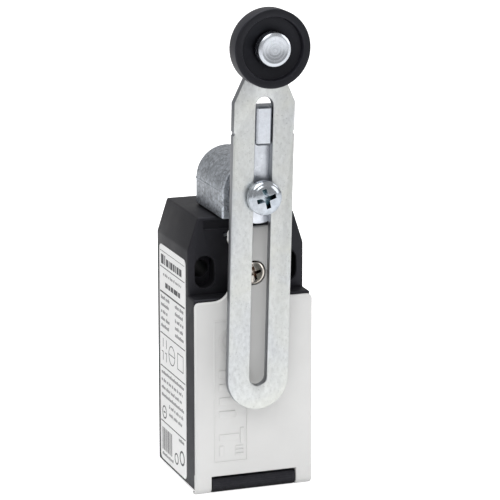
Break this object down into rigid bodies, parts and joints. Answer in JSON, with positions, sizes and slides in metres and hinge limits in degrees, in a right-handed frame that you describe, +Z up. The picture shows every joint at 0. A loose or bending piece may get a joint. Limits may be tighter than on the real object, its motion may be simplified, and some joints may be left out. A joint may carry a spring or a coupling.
{
  "type": "limit switch",
  "caption": "Limit switch with a two-shell plastic housing, a cast metal head and a slotted, length-adjustable roller lever that swings against a return spring.",
  "frame": {"origin": "centre of the cable entry's mouth, on the bottom face of the housing", "axes": "+Z up along the housing towards the head and lever; +Y towards the mounting face at the back; -Y towards the cover and lever at the front; +X to the right seen from the front"},
  "size_m": [0.03, 0.0421, 0.1198],
  "materials": {
    "housing_plastic": "fine moulded texture, glass-filled, dark charcoal",
    "cover_plastic": "satin light grey moulding",
    "seal_rubber": "matt black rubber",
    "screw_steel": "bright zinc plate",
    "shaft_steel": "ground",
    "label_film": "white printed film",
    "zinc_casting": "as-cast, slightly mottled zinc alloy",
    "spring_steel": "drawn wire and strip",
    "bush_polymer": "dark bearing polymer",
    "cam_steel": "sintered",
    "hub_steel": "satin zinc plate",
    "plated_steel": "satin zinc plate with a faint yellow and blue cast",
    "roller_plastic": "black, fine turned texture",
    "pin_steel": "turned, with a bright bevelled rim",
    "plunger_plastic": "natural acetal",
    "block_plastic": "dark insulating moulding",
    "contact_brass": "plain brass with silver tips"
  },
  "bodies": {
    "switch_body": {"housing": "housing_plastic", "hinge_pin": "shaft_steel", "rating_label": "label_film", "head_casting": "zinc_casting", "head_seal": "seal_rubber", "head_clip": "spring_steel", "shaft_bush": "bush_polymer", "shaft_seal": "seal_rubber", "return_spring": "spring_steel", "plunger_spring": "spring_steel", "contact_block": "block_plastic", "contact_block_lid": "block_plastic", "block_screws": "screw_steel", "terminal_nc_left": "contact_brass", "terminal_nc_right": "contact_brass", "terminal_no_left": "contact_brass", "terminal_no_right": "contact_brass", "terminal_screws": "screw_steel", "terminal_clamps": "screw_steel"},
    "cover": {"cover": "cover_plastic", "cover_gasket": "seal_rubber", "cover_screw": "screw_steel"},
    "drive": {"lever_shaft": "shaft_steel", "cam": "cam_steel", "cam_circlip": "spring_steel", "lever_hub": "hub_steel", "clamp_screw": "screw_steel", "lock_washer": "screw_steel"},
    "lever": {"lever_plate": "plated_steel", "roller_pin": "pin_steel", "roller_washer": "screw_steel"},
    "roller": {"roller": "roller_plastic"},
    "plunger": {"plunger": "plunger_plastic"},
    "carrier": {"contact_carrier": "plunger_plastic", "bridge_nc": "contact_brass", "bridge_no": "contact_brass", "spring_nc": "spring_steel", "spring_no": "spring_steel"}
  },
  "joints": [
    {"name": "lever_swing", "type": "hinge", "parent": "switch_body", "child": "drive", "pos_m": [0, 0, 0.07385], "axis": [0, 1, 0], "range_deg": [-75, 75], "stiffness_Nm_per_rad": 0.12},
    {"name": "lever_slide", "type": "slide", "parent": "drive", "child": "lever", "axis": [0.025, 0, 0.9997], "range_m": [-0.0008, 0.044]},
    {"name": "roller_spin", "type": "hinge", "parent": "lever", "child": "roller", "pos_m": [0.00089, 0, 0.10965], "axis": [0, 1, 0], "continuous": true},
    {"name": "plunger_slide", "type": "slide", "parent": "switch_body", "child": "plunger", "axis": [0, 0, 1], "range_m": [-0.002, 0], "stiffness_N_per_m": 900, "springref_m": 0.002, "deforming": ["plunger_spring"]},
    {"name": "contact_slide", "type": "slide", "parent": "switch_body", "child": "carrier", "axis": [0, 0, 1], "range_m": [-0.002, 0]},
    {"name": "cover_hinge", "type": "hinge", "parent": "switch_body", "child": "cover", "pos_m": [0, -0.01285, 0.00135], "axis": [1, 0, 0], "range_deg": [0, 3]}
  ],
  "couplings": [
    {"joint": "contact_slide", "follows": "plunger_slide", "ratio": 1}
  ]
}
